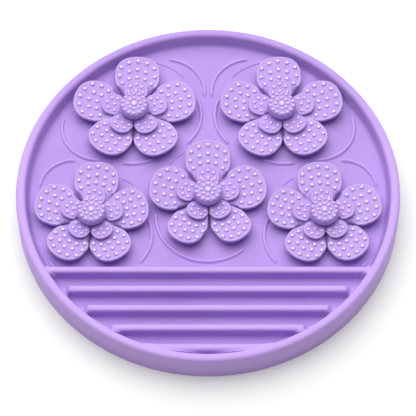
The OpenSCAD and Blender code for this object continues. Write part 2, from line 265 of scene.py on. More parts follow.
# The kinds of flower: size, turn, reach and width of each petal, and the floor ridges
# round it as (centre x, y and radius as shares of the reach, first and last angle,
# faint)
KINDS = {
    "middle": {
        "size_share": 1,
        "turns": (0, 3.5, 6, -1.5, -2),
        "reach_shares": (1.05, 0.98, 0.975, 0.975, 0.98),
        "width_shares": (1.03, 1.12, 0.88, 0.88, 1.11),
        "ridge_shares": (
            (-0.006, -0.289, 0.877, 175, 317, False),
            (-0.039, 0.305, 0.75, 116, 151, True),
        ),
    },
    "side": {
        "size_share": 0.98,
        "turns": (-5, -2, -0.8, -6, -4.4),
        "reach_shares": (1.03, 1, 0.96, 0.935, 0.96),
        "width_shares": (1.02, 1.06, 0.98, 0.97, 1.03),
        "ridge_shares": (
            (-0.345, 0.612, 0.596, 86, 177, False),
            (-0.017, -0.046, 1.037, 44, 62, True),
            (0.242, -0.291, 0.785, -45, 28, False),
            (-0.121, -0.429, 0.695, 210, 227, False),
        ),
    },
    "back": {
        "size_share": 1.06,
        "turns": (-3, 2, -0.2, -3, -3),
        "reach_shares": (0.99, 0.99, 0.935, 0.93, 0.985),
        "width_shares": (0.98, 1, 0.98, 0.98, 1),
        "ridge_shares": (
            (-0.573, -0.239, 0.607, 160, 275, False),
            (-0.021, -0.276, 0.641, 252, 304, False),
            (0.325, 0.009, 0.76, -48, 25, False),
            (0.129, 0.163, 0.886, 38, 83, True),
            (0.494, 0.445, 0.644, -9, 88, False),
        ),
    },
}
FLOWERS = {
    "back_left": "back",
    "back_right": "back",
    "side_left": "side",
    "side_right": "side",
    "middle": "middle",
}
PLACES = {name: centre_mm(name + "_button") for name in FLOWERS}

# The side flowers' centres stand this many reaches from the middle plane
SIDE_PLACE_SHARE = 1.951
PETAL_REACH = PLACES["side_right"][0] / SIDE_PLACE_SHARE


# Plane geometry
def turned(points, degrees):
    angle = math.radians(degrees)
    c, s = math.cos(angle), math.sin(angle)
    return np.asarray(points, float) @ np.array([[c, s], [-s, c]])


def circle(radius, count, centre=(0, 0)):
    angles = np.arange(count) * 2 * math.pi / count
    return np.column_stack([np.cos(angles), np.sin(angles)]) * radius + centre


def corner_arc(before, corner, after, radius, steps):
    """Points of the arc that rounds a corner between its two neighbours."""
    before, corner, after = (np.asarray(p, float) for p in (before, corner, after))
    u = (before - corner) / np.linalg.norm(before - corner)
    v = (after - corner) / np.linalg.norm(after - corner)
    half = math.acos(np.clip(u @ v, -1, 1)) / 2
    middle = (u + v) / np.linalg.norm(u + v)
    centre = corner + middle * radius / math.sin(half)
    first = corner + u * radius / math.tan(half) - centre
    a, b = corner - before, after - corner
    sweep = (math.pi - 2 * half) * np.sign(a[0] * b[1] - a[1] * b[0])
    angles = math.atan2(first[1], first[0]) + np.linspace(0, sweep, steps + 1)
    return centre + radius * np.column_stack([np.cos(angles), np.sin(angles)])


def rounded(points, radii, steps=16):
    """A line with every corner rounded to its own radius, zero for a sharp one."""
    parts = []
    for i, (point, radius) in enumerate(zip(points, radii)):
        if radius == 0:
            parts.append(np.array([point], float))
        else:
            after = points[(i + 1) % len(points)]
            parts.append(corner_arc(points[i - 1], point, after, radius, steps))
    return np.concatenate(parts)


def spaced(line, gap):
    """The same line with extra points wherever two are further apart than gap."""
    line = np.asarray(line, float)
    parts = []
    for a, b in zip(line, line[1:]):
        steps = max(1, math.ceil(np.linalg.norm(b - a) / gap))
        parts.append(a + (b - a) * np.arange(steps)[:, None] / steps)
    return np.concatenate(parts + [line[-1:]])


def grid(low, high, gap):
    """Points of a staggered grid that fills a rectangle."""
    rows = np.arange(low[1], high[1], gap * math.sqrt(3) / 2)
    columns = np.arange(low[0], high[0], gap)
    x = columns[None, :] + (np.arange(len(rows)) % 2)[:, None] * gap / 2
    y = np.repeat(rows[:, None], len(columns), axis=1)
    return np.column_stack([x.ravel(), y.ravel()])


def depth_in_convex(points, outline):
    """How deep each point lies in a convex outline that runs anticlockwise."""
    edges = np.roll(outline, -1, axis=0) - outline
    length = np.linalg.norm(edges, axis=1)
    edges, starts = edges[length > TINY], outline[length > TINY]
    normals = np.column_stack([-edges[:, 1], edges[:, 0]])
    normals /= np.linalg.norm(normals, axis=1)[:, None]
    offsets = (starts * normals).sum(axis=1)
    return (points @ normals.T - offsets).min(axis=1)


def smooth_step(x):
    x = np.clip(x, 0, 1)
    return x * x * (3 - 2 * x)


def ramp(x, low, high):
    """0 up to low and 1 from high on, with a smooth rise between."""
    return smooth_step((x - low) / (high - low))


def fillet(a, b, width):
    """How much a fillet of this width adds where two depths are nearly the same."""
    return np.maximum(width - np.abs(a - b), 0) ** 2 / (4 * width)


def blended_max(a, b, width):
    """The larger of two heights above a floor, with a fillet where they cross."""
    width = np.minimum(width, np.minimum(a, b)) + TINY
    near = np.maximum(width - np.abs(a - b), 0) / width
    return np.maximum(a, b) + near * near * width / 4


class Profile:
    """A rising line of (distance, height) points with rounded corners."""

    def __init__(self, points, radii):
        line = rounded(points, radii, steps=PROFILE_STEPS)
        self.distances, self.heights = line[:, 0], line[:, 1]

    def __call__(self, distance):
        return np.interp(distance, self.distances, self.heights)


class Plan:
    """Points and edges of a flat drawing, which triangles() fills in."""

    def __init__(self):
        self.points = []
        self.edges = []

    def line(self, points, closed=False):
        first, count = len(self.points), len(points)
        self.points += [tuple(p) for p in points]
        self.edges += [
            (first + i, first + (i + 1) % count)
            for i in range(count if closed else count - 1)
        ]

    def loop(self, points):
        self.line(points, closed=True)

    def scatter(self, points):
        self.points += [tuple(p) for p in points]

    def triangles(self, inside):
        """(points, triangles) of the part whose triangles' middles are inside."""
        given = np.array(self.points, float)
        made, _, faces, origins, *_ = delaunay_2d_cdt(
            [Vector(p) for p in self.points], self.edges, [], 0, PLAN_STEP, True
        )
        points, faces = np.array(made, float), np.array(faces, int)
        for i, origin in enumerate(origins):
            if origin:
                points[i] = given[origin[0]]
        a, b, c = (points[faces[:, k]] for k in range(3))
        area = (b - a)[:, 0] * (c - a)[:, 1] - (b - a)[:, 1] * (c - a)[:, 0]
        faces[area < 0] = faces[area < 0][:, ::-1]
        keep = inside((a + b + c) / 3) & (np.abs(area) > TINY)
        used, new = np.unique(faces[keep], return_inverse=True)
        return points[used], new.reshape(-1, 3)


def slopes(function, flat):
    """The two slopes of a height function at each point."""
    step = np.array([GRADIENT_STEP, 0])
    return [
        (function(flat + d) - function(flat - d)) / (2 * GRADIENT_STEP)
        for d in (step, step[::-1])
    ]


class Shell:
    """Sheets and walls of one piece, with a normal for each corner of each face, and
    for each point its share of painted highlight, from 0 to 1."""

    def __init__(self, painted_highlight):
        self.painted_highlight = painted_highlight
        self.points = []
        self.faces = []
        self.normals = []
        self.painted_highlights = []
        self.count = 0

    def add(self, points, faces, normals, flip=False):
        """faces is an array of point numbers; normals has one row a point."""
        faces = np.asarray(faces, int)
        if flip:
            faces = faces[:, ::-1]
        points = np.asarray(points, float)
        self.points.append(points)
        self.painted_highlights.append(self.painted_highlight(points))
        self.faces.append(faces + self.count)
        self.normals.append(np.asarray(normals, float)[faces])
        self.count += len(points)

    def sheet(self, plan, inside, height, edge_depth=None, up=True):
        """A plan lifted by a height function. Where edge_depth is given, the sheet
        turns upright where that depth is nothing."""
        flat, faces = plan.triangles(inside)
        x_slope, y_slope = slopes(height, flat)
        normals = np.column_stack([-x_slope, -y_slope, np.ones(len(flat))])
        normals /= np.linalg.norm(normals, axis=1)[:, None]
        if not up:
            normals = -normals
        if edge_depth is not None:
            at_edge = edge_depth(flat) < HAIR
            x_slope, y_slope = slopes(edge_depth, flat[at_edge])
            outward = np.column_stack([-x_slope, -y_slope, np.zeros(len(x_slope))])
            length = np.maximum(np.linalg.norm(outward, axis=1), TINY)
            normals[at_edge] = outward / length[:, None]
        self.add(np.column_stack([flat, height(flat)]), faces, normals, flip=not up)

    def lathe(self, profile, count, centre=(0, 0), smooth=True):
        """A line of (radius, height) points turned about an upright axis. Its outer
        side is on the right as it runs."""
        profile = np.asarray(profile, float)
        lines = [profile]
        if not smooth:
            lines = [profile[i:i + 2] for i in range(len(profile) - 1)]
        for line in lines:
            self.turned_line(line, count, centre)

    def turned_line(self, line, count, centre):
        along = np.gradient(line, axis=0)
        across = np.column_stack([along[:, 1], -along[:, 0]])
        across /= np.linalg.norm(across, axis=1)[:, None]
        out = circle(1, count)
        points = np.concatenate([
            np.column_stack([circle(r, count, centre), np.full(count, z)]) for r, z in line
        ])
        normals = np.concatenate([
            np.column_stack([out * n[0], np.full(count, n[1])]) for n in across
        ])
        here = np.arange(count)
        after = (here + 1) % count
        faces = np.concatenate([
            np.column_stack([here, after, after + count, here + count]) + i * count
            for i in range(len(line) - 1)
        ])
        self.add(points, faces, normals)

    def wall(self, loop, low, high, outward=True):
        """An upright wall on an anticlockwise loop."""
        count = len(loop)
        for i in range(count):
            a, b = loop[i], loop[(i + 1) % count]
            points = [(*a, low), (*b, low), (*b, high), (*a, high)]
            normal = np.array([b[1] - a[1], a[0] - b[0], 0]) / np.linalg.norm(b - a)
            if not outward:
                normal = -normal
            self.add(points, [[0, 1, 2, 3]], [normal] * 4, flip=not outward)

    def mirrored(self):
        """A copy mirrored in the plane X = 0."""
        other = Shell(self.painted_highlight)
        other.count = self.count
        other.painted_highlights = self.painted_highlights
        flip = np.array([-1, 1, 1])
        other.points = [p * flip for p in self.points]
        other.faces = [f[:, ::-1] for f in self.faces]
        other.normals = [n[:, ::-1] * flip for n in self.normals]
        return other

    def piece(self, name, place=(0, 0), base=0):
        """The welded mesh object, moved to its place, in metres."""
        points = np.concatenate(self.points)
        keys = np.round(points / WELD_GRID).astype(np.int64)
        _, first, new = np.unique(keys, axis=0, return_index=True, return_inverse=True)
        new = new.ravel()
        faces, normals = [], []
        for group, rows in zip(self.faces, self.normals):
            group = new[group]
            whole = np.all(group != np.roll(group, 1, axis=1), axis=1)
            faces += group[whole].tolist()
            normals.append(rows[whole].reshape(-1, 3))
        mesh = bpy.data.meshes.new(name)
        moved = (points[first] + (*place, base)) * MM
        mesh.from_pydata(moved.tolist(), [], faces)
        mesh.normals_split_custom_set(np.concatenate(normals).tolist())
        # Each point's share of painted highlight, which the materials mix in as a paler
        # colour
        painted_highlight = mesh.attributes.new(PAINTED_HIGHLIGHT, "FLOAT", "POINT")
        painted_highlight.data.foreach_set("value", np.concatenate(self.painted_highlights)[first])
        made = bpy.data.objects.new(name, mesh)
        bpy.context.scene.collection.objects.link(made)
        return made


# Tray
RIM_LINE = (
    [(0, 0), (FLOOR_R, 0), (RIM_INNER_R, TRAY_H - FLOOR_H), (TRAY_R, TRAY_H - FLOOR_H)],
    [0, RIM_FILLET, RIM_ROUND, 0],
)
RIM_PROFILE = Profile(*RIM_LINE)
BAR_PROFILE = Profile(
    [(-RIB_W, 0), (0, 0), ((RIB_W - RIB_TOP_W) / 2, RIB_H), (RIB_W, RIB_H)],
    [0, RIB_FOOT_ROUND, RIB_ROUND, 0],
)
COLLAR_PROFILE = Profile(
    [
        (-COLLAR_D, 0),
        (0, 0),
        (COLLAR_ROUND / 4, COLLAR_TOP - FLOOR_H),
        (COLLAR_D, COLLAR_TOP - FLOOR_H),
    ],
    [0, COLLAR_ROUND, COLLAR_ROUND, 0],
)
RIM_RING_STEPS = 10
RIM_RING_SHARES = (0.25, 0.5, 0.75)
OUTSIDE_STEPS = 8
OUTSIDE_GAP = 4
BAR_DEPTHS = (-0.6, -0.35, -0.15, 0.02, 0.2, 0.34, 0.5, 0.75, 1.05, 1.4, 1.8, 2.2)
BAR_GAP = 2.5
CORNER_GRID = 0.4
COLLAR_DEPTHS = (-0.5, -0.25, -0.05, 0.12, 0.3, 0.6)
FLOOR_GRID = 3.5
CREASE_ROUND = 0.6

# Painted highlight on the crests: shares of a ridge's height and heights above the floor
# over which it rises, the outside's share of painted light, and the painted shade that
# takes it away towards the far side over these Y
RIDGE_HIGHLIGHT_RANGE = (0.3, 0.9)
HIGH_HIGHLIGHT_RANGE = (4.6, RIB_H)
# Share of painted light on the outer wall
OUTSIDE_PAINTED_LIGHT = 0.9
# Painted shade: over these Y towards the far side the painted light fades by this share
FAR_SHADE_Y = (10, 85)
FAR_PAINTED_SHADE = 0.8


def rib_y(i):
    return FIRST_RIB_Y - i * RIB_PITCH


def rib_half_length(i):
    """Half the length of a rib's level crest. The first and the last run into the rim,
    and the gap at the ends of the others shrinks towards the last."""
    rim_r = FLOOR_R + RIM_LEAN * RIB_H / (TRAY_H - FLOOR_H)
    to_rim = math.sqrt(rim_r ** 2 - rib_y(i) ** 2)
    if i == 0:
        return to_rim + RIM_W / 2
    return to_rim - RIB_END_GAP * (1 - (i / (RIB_COUNT - 1)) ** RIB_GAP_POWER)


def rib_height(points, i):
    """Height of a rib, which is lower past the ends of its crest."""
    x, y = points.T
    depth = RIB_W / 2 - np.abs(y - rib_y(i))
    rim_depth = np.hypot(x, y) - FLOOR_R - RIM_LEAN / 2
    depth = depth + fillet(depth, rim_depth, RIB_FILLET)
    fall = 0
    if 0 < i < RIB_COUNT - 1:
        fall = smooth_step((np.abs(x) - rib_half_length(i)) / RIB_END_FALL)
    return BAR_PROFILE(depth) * (1 - fall * (1 - SILL_H / RIB_H))


def ridge_shape(place, size_share, shares):
    """Centre, radius, first and last angle, width and height of a floor ridge."""
    reach = PETAL_REACH * size_share
    faint = shares[5]
    return (
        np.array(place) + reach * np.array(shares[:2]),
        reach * shares[2],
        math.radians(shares[3]),
        math.radians(shares[4]),
        FAINT_RIDGE_W if faint else RIDGE_W,
        FAINT_RIDGE_H if faint else RIDGE_H,
    )


def all_ridges():
    """Every ridge, with the right side's mirrored from the left."""
    made = []
    for name, kind in (("back_left", "back"), ("side_left", "side"), ("middle", "middle")):
        for shares in KINDS[kind]["ridge_shares"]:
            shape = ridge_shape(PLACES[name], KINDS[kind]["size_share"], shares)
            centre, radius, start, end, w, h = shape
            made.append(shape)
            if name != "middle":
                flipped = centre * (-1, 1)
                made.append((flipped, radius, math.pi - end, math.pi - start, w, h))
    return made


RIDGES = all_ridges()


def ridge_height(points, centre, radius, start, end, w, h):
    """Height of a ridge with a round crest that sinks into the floor at its ends."""
    offset = points - centre
    middle = (start + end) / 2
    angle = np.arctan2(offset[:, 1], offset[:, 0])
    angle = middle + (angle - middle + math.pi) % (2 * math.pi) - math.pi
    to_end = radius * np.minimum(angle - start, end - angle)
    across = np.abs(np.hypot(offset[:, 0], offset[:, 1]) - radius)
    slope = RIDGE_FOOT_SHARE - across / (w / 2)
    rise = smooth_step(slope / (RIDGE_FOOT_SHARE - RIDGE_CREST_SHARE))
    return h * smooth_step(to_end / RIDGE_TAPER) * rise


def highest_ridge(points):
    """Height of the highest ridge at each point."""
    height = np.zeros(len(points))
    for ridge in RIDGES:
        height = np.maximum(height, ridge_height(points, *ridge))
    return height


def draw_ridge(plan, centre, radius, start, end, w, h):
    count = math.ceil(radius * (end - start) / LINE_GAP)
    angles = np.linspace(start, end, count + 1)
    along = np.column_stack([np.cos(angles), np.sin(angles)])
    for share in RIDGE_LINE_SHARES:
        for side in (-1, 1) if share else (1,):
            plan.line(along * (radius + side * share * w / 2) + centre)


def tray_top(points):
    """Height of the tray's upper face."""
    ribs = np.zeros(len(points))
    for i in range(RIB_COUNT):
        ribs = np.maximum(ribs, rib_height(points, i))
    collars = np.zeros(len(points))
    for place in PLACES.values():
        inside = COLLAR_D / 2 - np.hypot(*(points - place).T)
        collars = np.maximum(collars, COLLAR_PROFILE(inside))
    rise = blended_max(ribs, highest_ridge(points), CREASE_ROUND)
    rise = np.maximum(rise, collars)
    return FLOOR_H + blended_max(RIM_PROFILE(np.hypot(*points.T)), rise, CREASE_ROUND)


def tray_painted_highlight(points):
    """Painted highlight on the ridges' crests and the tops of the ribs and the rim, and
    painted light in part on the outside; all but the ridges' fade as painted shade
    towards the far side.
    """
    flat, z = points[:, :2], points[:, 2]
    ridges = highest_ridge(flat) / RIDGE_H * (z > FLOOR_H)
    high = ramp(z - FLOOR_H, *HIGH_HIGHLIGHT_RANGE)
    # Painted light on the outer wall
    outside = OUTSIDE_PAINTED_LIGHT * (np.hypot(*flat.T) > TRAY_R - SKIRT_ROUND)
    # Painted shade: less painted light towards the far side
    far = ramp(points[:, 1], *FAR_SHADE_Y)
    rim = np.maximum(high, outside) * (1 - FAR_PAINTED_SHADE * far)
    return np.maximum(ramp(ridges, *RIDGE_HIGHLIGHT_RANGE), rim)


def draw_rim(plan):
    plan.loop(circle(RIM_MIDDLE_R, RING_COUNT))
    wall = rounded(*RIM_LINE, steps=RIM_RING_STEPS)[:, 0]
    for radius in wall[1:-1]:
        plan.loop(circle(radius, RING_COUNT))
    low, high = wall[RIM_RING_STEPS + 1], wall[RIM_RING_STEPS + 2]
    for share in RIM_RING_SHARES:
        plan.loop(circle(low + share * (high - low), RING_COUNT))


def draw_rib(plan, i):
    """The lines along a rib, and a fine grid at its ends."""
    rim_x = math.sqrt(RIM_INNER_R ** 2 - rib_y(i) ** 2)
    fine_x = min(rib_half_length(i), rim_x - RIB_FILLET) - RIB_FILLET
    for depth in BAR_DEPTHS:
        for edge in (-1, 1):
            y = rib_y(i) + edge * (RIB_W / 2 - depth)
            plan.line(spaced([(-fine_x, y), (fine_x, y)], BAR_GAP))
    half_w = RIB_W / 2 + RIB_FILLET
    corner = grid((fine_x, rib_y(i) - half_w), (rim_x, rib_y(i) + half_w), CORNER_GRID)
    corner = corner[np.hypot(*corner.T) < RIM_INNER_R]
    plan.scatter(corner)
    plan.scatter(corner * (-1, 1))


def draw_collar(plan, place):
    plan.loop(circle(POCKET_D / 2, HOLE_COUNT, place))
    for depth in COLLAR_DEPTHS:
        plan.loop(circle(COLLAR_D / 2 - depth, HOLE_COUNT, place))


def outside_holes(points, diameter):
    clear = np.ones(len(points), bool)
    for place in PLACES.values():
        clear &= np.hypot(*(points - place).T) > diameter / 2 - HOLE_MARGIN
    return clear


def add_tray_top(shell):
    plan = Plan()
    draw_rim(plan)
    for i in range(RIB_COUNT):
        draw_rib(plan, i)
    for ridge in RIDGES:
        draw_ridge(plan, *ridge)
    for place in PLACES.values():
        draw_collar(plan, place)
    spots = grid((-FLOOR_R, -FLOOR_R), (FLOOR_R, FLOOR_R), FLOOR_GRID)
    plan.scatter(spots[np.hypot(*spots.T) < FLOOR_R - RIM_FILLET])

    def inside(points):
        return (np.hypot(*points.T) < RIM_MIDDLE_R) & outside_holes(points, POCKET_D)

    shell.sheet(plan, inside, tray_top)


def add_tray_outside(shell):
    """Turns the rim's outer half, the outer wall and the hollow's wall. Returns the
    radius that the underside of the floor starts from."""
    foot_r = TRAY_R - SKIRT_T
    outside = rounded(
        [
            (RIM_MIDDLE_R, TRAY_H),
            (TRAY_R, TRAY_H),
            (TRAY_R, 0),
            (foot_r, 0),
            (foot_r, UNDERSIDE),
            (foot_r - 2 * RIM_FILLET, UNDERSIDE),
        ],
        [0, RIM_ROUND, SKIRT_ROUND, SKIRT_ROUND, RIM_FILLET, 0],
        steps=OUTSIDE_STEPS,
    )
    shell.lathe(spaced(outside, OUTSIDE_GAP)[::-1], RING_COUNT)
    return foot_r - 2 * RIM_FILLET


def make_tray():
    shell = Shell(tray_painted_highlight)
    add_tray_top(shell)
    underside_r = add_tray_outside(shell)
    plan = Plan()
    plan.loop(circle(underside_r, RING_COUNT))
    for place in PLACES.values():
        plan.loop(circle(FLOOR_HOLE_D / 2, HOLE_COUNT, place))
    shell.sheet(
        plan,
        lambda points: outside_holes(points, FLOOR_HOLE_D),
        lambda points: np.full(len(points), UNDERSIDE),
        up=False,
    )
    hole = [
        (FLOOR_HOLE_D / 2, UNDERSIDE),
        (FLOOR_HOLE_D / 2, FLOOR_H),
        (POCKET_D / 2, FLOOR_H),
        (POCKET_D / 2, COLLAR_TOP),
    ]
    for place in PLACES.values():
        shell.lathe(hole[::-1], HOLE_COUNT, place, smooth=False)
    return shell


# Petals
def stem_outline(clear):
    """The stem's section, a circle with a flat across its back."""
    radius, flat = STEM_D / 2 + clear, STEM_FLAT + clear
    start = math.asin(flat / radius)
    angles = np.linspace(math.pi - start, 2 * math.pi + start, STEM_POINTS)
    return np.column_stack([np.cos(angles), np.sin(angles)]) * radius


def petal_angle(turns, i):
    return FIRST_PETAL + PETAL_TURN * i + turns[i]


def petal_outline(reach, half_w, shares):
    """A petal's outline along the X axis, each side's width times its share."""
    sides = [half_w * shares[s[1] > 0] for s in PETAL_CORNER_SHARES]
    corners = [(s[0] * reach, s[1] * w) for s, w in zip(PETAL_CORNER_SHARES, sides)]
    return rounded(corners, [s[2] * half_w for s in PETAL_CORNER_SHARES])


def side_shares(i):
    """The shares of a petal's two half widths: the lower pair is narrower between."""
    return {
        LOWER_PAIR[0]: (1, PAIR_INNER_SHARE),
        LOWER_PAIR[1]: (PAIR_INNER_SHARE, 1),
    }.get(i, (1, 1))


def moved_in(outline, depth):
    """An open line that follows an outline at a depth."""
    if depth == 0:
        return outline
    along = np.roll(outline, -1, axis=0) - np.roll(outline, 1, axis=0)
    inward = np.column_stack([-along[:, 1], along[:, 0]])
    moved = outline + depth * inward / np.linalg.norm(inward, axis=1)[:, None]
    return moved[1:-1]


def cut(outline, normal, offset):
    """The part of a convex outline whose distance along a normal is over an offset."""
    kept = []
    for a, b in zip(outline, np.roll(outline, -1, axis=0)):
        side_a, side_b = a @ normal - offset, b @ normal - offset
        if side_a >= 0:
            kept.append(a)
        if side_a * side_b < 0:
            kept.append(a + (b - a) * side_a / (side_a - side_b))
    return np.array(kept)


class Nub:
    """A round nub on a face, which may slope outward at a lean."""

    def __init__(self, place, d, h, lean=0):
        self.place = np.array(place, float)
        self.radius = d / 2
        self.h = h
        self.stretch = math.hypot(1, lean)
        length = np.linalg.norm(self.place)
        self.out = self.place / length if length > TINY else np.array([1.0, 0.0])
        self.aside = np.array([-self.out[1], self.out[0]])

    def shape(self, points):
        """1 at the nub's top, falling to 0 round it."""
        offset = points - self.place
        along, aside = offset @ self.out * self.stretch, offset @ self.aside
        return np.interp(np.hypot(along, aside) / self.radius, *zip(*NUB_SECTION))

    def rise(self, points):
        return self.h * self.stretch * self.shape(points)

    def draw(self, plan):
        plan.scatter([self.place])
        for share, _ in NUB_SECTION[1:]:
            x, y = circle(self.radius * share, NUB_SIDES).T
            out = np.outer(x / self.stretch, self.out)
            plan.loop(self.place + out + np.outer(y, self.aside))


def most_of_nubs(points, nubs, measure):
    """The largest value of a nub's measure at each point."""
    most = np.zeros(len(points))
    for nub in nubs:
        near = np.abs(points - nub.place).max(axis=1) < 2 * nub.radius
        most[near] = np.maximum(most[near], measure(nub, points[near]))
    return most


def rise_of_nubs(points, nubs):
    """The height that the nubs add at each point."""
    return most_of_nubs(points, nubs, Nub.rise)


def painted_highlight_of_nubs(points, nubs):
    """Painted highlight: 1 on the tops of the nubs, 0 from their sides on."""
    shape = most_of_nubs(points, nubs, Nub.shape)
    return ramp(shape, NUB_HIGHLIGHT_LOW, 1)


class Whorl:
    """Five dished petals on a hub, in the flower's own place, resting at height 0."""

    # Depths of the lines that follow the edge, and how deep one may run into others
    TOP_DEPTHS = (0, 0.04, 0.15, 0.32, 0.55, 0.8, 1.1, 1.45, 1.85)
    BOTTOM_DEPTHS = (0, 0.04, 0.15, 0.32, 0.55, 0.8)
    OVERRUN = 2

    # Height of the edge's line as a share of the thickness, and where the bead along
    # it rises and falls
    EDGE_SHARE = 0.7
    BEAD_RISE = (0, 0.45)
    BEAD_FALL = (0.7, 1.4)

    # Points inside the lines: how many across a petal, their depth past the last line,
    # how far round the centre, and every which of them the underside has
    SPOTS_ACROSS = 14
    SPOTS_MARGIN = 0.2
    SPOTS_REACH_SHARE = 1.05
    BOTTOM_SPOTS_STEP = 3

    def __init__(self, sizes, reaches, half_widths, turns, nub_places):
        self.sizes = sizes
        self.turns = turns
        self.reach = max(reaches)
        self.outlines = [
            turned(petal_outline(*petal, side_shares(i)), petal_angle(turns, i))
            for i, petal in enumerate(zip(reaches, half_widths))
        ]
        self.split_lower_pair()
        self.nubs = [Nub(p, sizes["nub_d"], sizes["nub_h"]) for p in nub_places]

    def split_lower_pair(self):
        """Cuts the two lower petals apart along the line midway between them."""
        middle = sum(petal_angle(self.turns, i) for i in LOWER_PAIR) / 2
        for i, side in zip(LOWER_PAIR, (-1, 1)):
            normal = turned([(0, side)], middle)[0]
            self.outlines[i] = cut(self.outlines[i], normal, PAIR_GAP / 2)

    def depth(self, points):
        """How deep each point lies in the outline of the petals and the hub."""
        depth = self.sizes["hub_d"] / 2 - np.hypot(*points.T)
        for outline in self.outlines:
            depth = np.maximum(depth, depth_in_convex(points, outline))
        return depth

    def inside(self, points):
        hole = stem_outline(STEM_CLEAR)
        return (self.depth(points) > INSIDE_DEPTH) & (depth_in_convex(points, hole) < 0)

    def faces_at(self, points):
        """Heights of the lower and upper faces before their edges are rounded. Over
        1 mm past the hub and past the seat they turn from flat to dished."""
        t, dish_r = self.sizes["t"], self.sizes["dish_r"]
        r = np.hypot(*points.T)
        lower = t + dish_r - np.sqrt((dish_r + t) ** 2 - r ** 2)
        upper = dish_r - np.sqrt(dish_r ** 2 - r ** 2)
        lower *= smooth_step(r - self.sizes["hub_d"] / 2)
        upper *= smooth_step(r - self.sizes["seat_d"] / 2)
        return lower, t + upper

    def edge_share(self, depth):
        """How much of its thickness a petal has, from 0 at its edge to 1."""
        share = np.clip(depth / self.sizes["edge"], 0, 1)
        return np.sqrt(1 - (1 - share) ** 2)

    def bead(self, points, depth):
        """1 on the crest of the bead along every edge beyond the hub, 0 beside it."""
        bead = ramp(depth, *self.BEAD_RISE) * (1 - ramp(depth, *self.BEAD_FALL))
        return bead * smooth_step(np.hypot(*points.T) - self.sizes["hub_d"] / 2)

    def painted_highlight(self, points):
        """Painted highlight on the tops of the nubs, and in part on the bead."""
        flat = points[:, :2]
        bead = self.sizes["lip_highlight"] * self.bead(flat, self.depth(flat))
        lower, upper = self.faces_at(flat)
        above = points[:, 2] > (lower + upper) / 2
        return above * np.maximum(bead, painted_highlight_of_nubs(flat, self.nubs))

    def top(self, points):
        lower, upper = self.faces_at(points)
        edge = lower + self.EDGE_SHARE * (upper - lower)
        depth = self.depth(points)
        lip = self.sizes["lip_h"] * self.bead(points, depth)
        raised = np.maximum(lip, rise_of_nubs(points, self.nubs))
        return edge + (upper - edge) * self.edge_share(depth) + raised

    def bottom(self, points):
        lower, upper = self.faces_at(points)
        edge = lower + self.EDGE_SHARE * (upper - lower)
        return edge - (edge - lower) * self.edge_share(self.depth(points))

    def draw(self, plan, depths):
        for depth in depths:
            for outline in self.outlines:
                self.draw_kept(plan, moved_in(outline, depth), depth)
            hub = circle(self.sizes["hub_d"] / 2 - depth, HOLE_COUNT)
            self.draw_kept(plan, np.vstack([hub, hub[:1]]), depth)
        plan.loop(stem_outline(STEM_CLEAR))

    def draw_kept(self, plan, line, depth):
        """Draws the runs of a line that lie near the whole whorl's edge."""
        line = spaced(line, LINE_GAP)
        near = self.depth(line) < depth + self.OVERRUN
        for kept, run in groupby(range(len(line)), near.__getitem__):
            run = list(run)
            if kept and len(run) > 1:
                plan.line(line[run])

    def shell(self):
        half = self.reach * self.SPOTS_REACH_SHARE
        spots = grid((-half, -half), (half, half), self.sizes["w"] / self.SPOTS_ACROSS)
        deep = spots[self.depth(spots) > self.TOP_DEPTHS[-1] + self.SPOTS_MARGIN]
        above, below = Plan(), Plan()
        self.draw(above, self.TOP_DEPTHS)
        self.draw(below, self.BOTTOM_DEPTHS)
        above.scatter(deep)
        below.scatter(deep[::self.BOTTOM_SPOTS_STEP])
        for nub in self.nubs:
            nub.draw(above)
        made = Shell(self.painted_highlight)
        made.sheet(above, self.inside, self.top, self.depth)
        made.sheet(below, self.inside, self.bottom, self.depth, up=False)
        made.wall(stem_outline(STEM_CLEAR), 0, self.sizes["t"], outward=False)
        return made


def large_whorl(kind):
    reaches = PETAL_REACH * kind["size_share"] * np.array(kind["reach_shares"])
    half_widths = LARGE["w"] / 2 * kind["size_share"] * np.array(kind["width_shares"])
    places = []
    for i in PETALS:
        along = np.array(LARGE_NUB_SHARES) * (reaches[i], half_widths[i])
        places += list(turned(along, petal_angle(kind["turns"], i)))
    return Whorl(LARGE, reaches, half_widths, kind["turns"], places)


def small_whorl(kind):
    reaches = SMALL_REACH * kind["size_share"] * np.array(SMALL_REACH_SHARES)
    half_w = SMALL["w"] / 2 * kind["size_share"]
    places = []
    for i in PETALS:
        centre = (SMALL_RING_CENTRE_SHARE * reaches[i], 0)
        ring = circle(SMALL_RING_SHARE * half_w, SMALL_RING_COUNT, centre)
        along = np.vstack([[centre], ring])
        clear = np.linalg.norm(along, axis=1) > (BUTTON_D + SMALL["nub_d"]) / 2
        places += list(turned(along[clear], petal_angle(kind["turns"], i)))
    return Whorl(SMALL, reaches, [half_w] * len(PETALS), kind["turns"], places)


# Buttons
def dome_height(share):
    share = np.clip(share, 0, 1)
    rise = (BUTTON_H - BUTTON_WAIST_H) * np.sqrt(1 - share ** BUTTON_DOME_POWER)
    return BUTTON_WAIST_H + rise


def button_nubs():
    """The crown's nub and the two rings, which lean as the dome does under them."""
    nubs = [Nub((0, 0), CROWN_NUB_D, CROWN_NUB_H)]
    step = BUTTON_LEAN_STEP
    for count, share in zip(BUTTON_RING_COUNTS, BUTTON_RING_SHARES):
        fall = dome_height(share - step) - dome_height(share + step)
        lean = float(fall / (BUTTON_D * step))
        for place in turned(circle(share * BUTTON_D / 2, count), FIRST_PETAL):
            nubs.append(Nub(place, BUTTON_NUB_D, BUTTON_NUB_H, lean))
    return nubs


